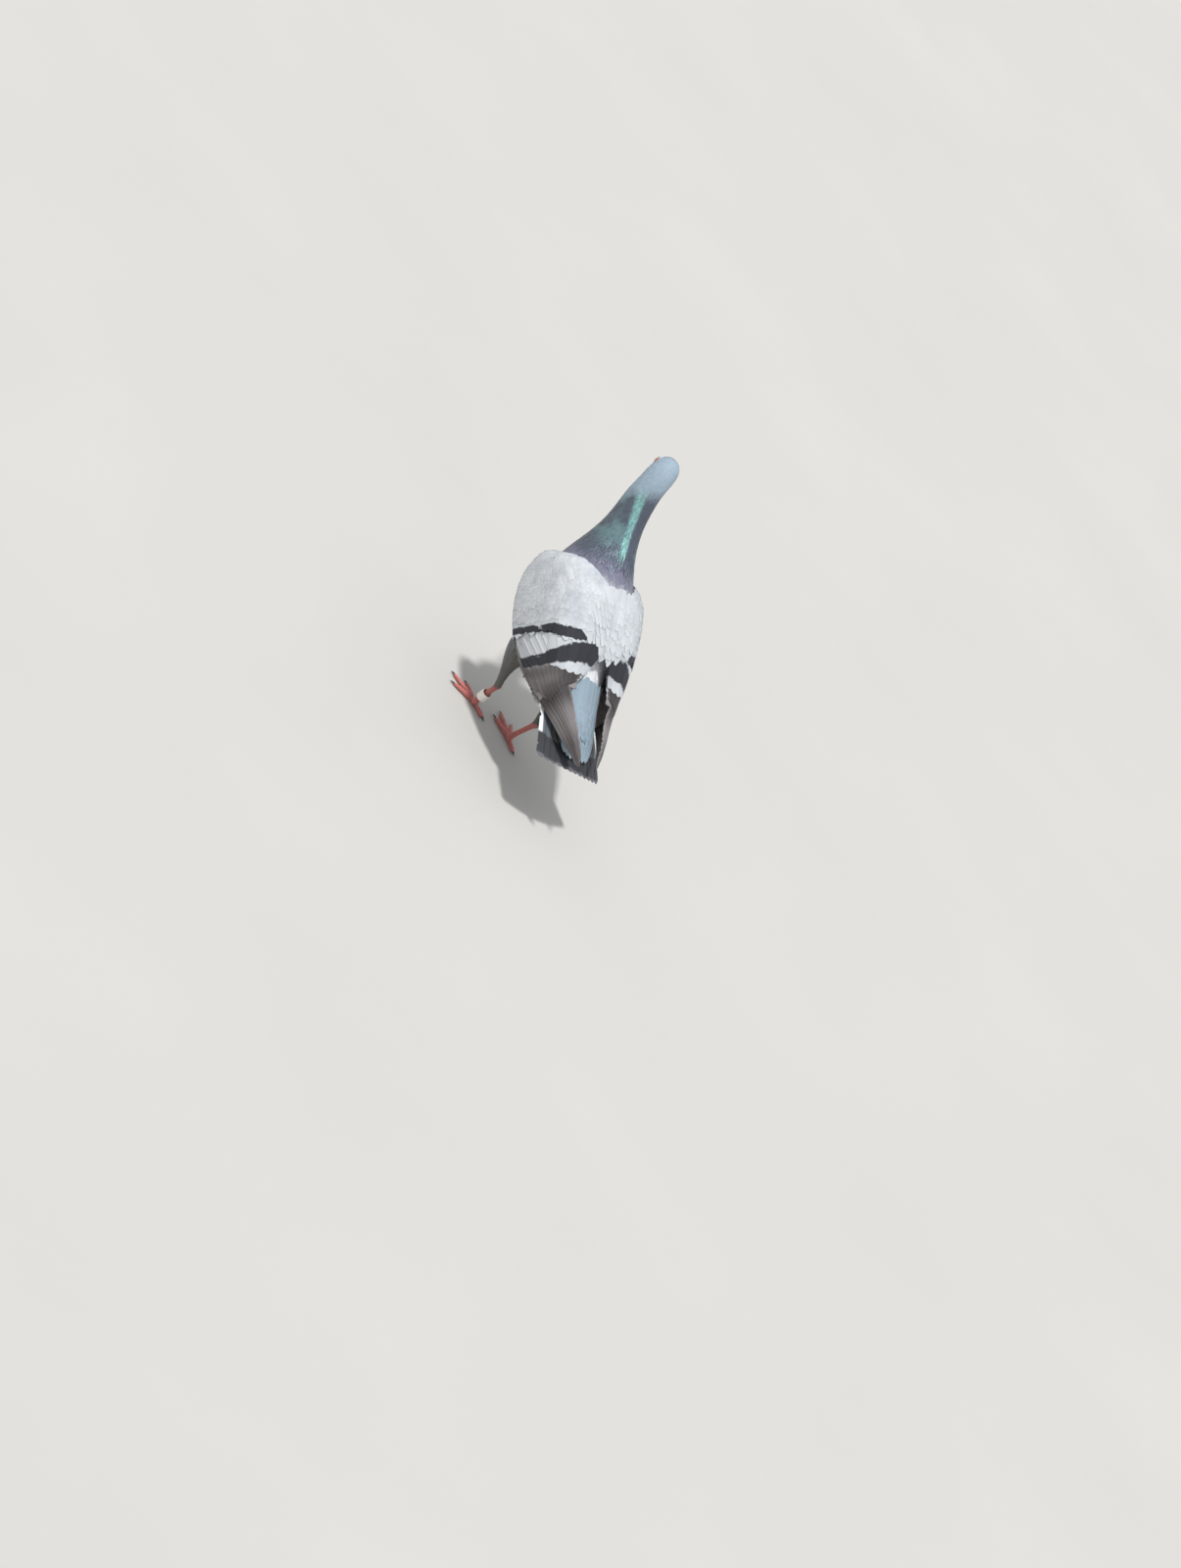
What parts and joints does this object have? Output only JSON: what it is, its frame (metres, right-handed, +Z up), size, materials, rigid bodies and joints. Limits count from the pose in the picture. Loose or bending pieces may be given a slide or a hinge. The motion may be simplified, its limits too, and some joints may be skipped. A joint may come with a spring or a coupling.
{
  "type": "pigeon",
  "caption": "Life-size still model of a grey pigeon with barred wings, in mid step with its neck stretched up and its head turned to its right.",
  "frame": {"origin": "middle of the bird's box on the floor that its feet stand on", "axes": "+Z up, the bird faces -Y, its left side is at +X"},
  "size_m": [0.1108, 0.2586, 0.2776],
  "materials": {
    "head_plumage": "soft matte short feathers, pale blue-grey",
    "neck_plumage": "glossy slate feathers with a green and purple sheen",
    "body_plumage": "soft matte feathers, pale grey above and grey below",
    "wing_plumage": "smooth pale grey coverts with two dark bars",
    "flight_plumage": "stiff brown-grey flight feathers with paler edges",
    "tail_plumage": "stiff blue-grey tail feathers with a dark end band",
    "leg_plumage": "soft grey leg feathers",
    "leg_skin": "scaly pink-red skin",
    "claw": "smooth dark horn",
    "bill": "smooth dark horn",
    "cere": "chalky white skin",
    "eye": "wet, orange-red with a black pupil",
    "ring": "smooth cream leg ring"
  },
  "bodies": {
    "root": {"bill_lower": "bill", "bill_upper": "bill", "cere": "cere", "claw_left_hind": "claw", "claw_left_inner": "claw", "claw_left_middle": "claw", "claw_left_outer": "claw", "claw_right_hind": "claw", "claw_right_inner": "claw", "claw_right_middle": "claw", "claw_right_outer": "claw", "eye_left": "eye", "eye_right": "eye", "head": "head_plumage", "leg_ring": "ring", "neck": "neck_plumage", "primaries_left": "flight_plumage", "primaries_right": "flight_plumage", "tail": "tail_plumage", "tarsus_left": "leg_skin", "tarsus_right": "leg_skin", "thigh_left": "leg_plumage", "thigh_right": "leg_plumage", "toe_left_hind": "leg_skin", "toe_left_inner": "leg_skin", "toe_left_middle": "leg_skin", "toe_left_outer": "leg_skin", "toe_right_hind": "leg_skin", "toe_right_inner": "leg_skin", "toe_right_middle": "leg_skin", "toe_right_outer": "leg_skin", "trunk": "body_plumage", "wing_left": "wing_plumage", "wing_right": "wing_plumage"}
  },
  "joints": []
}
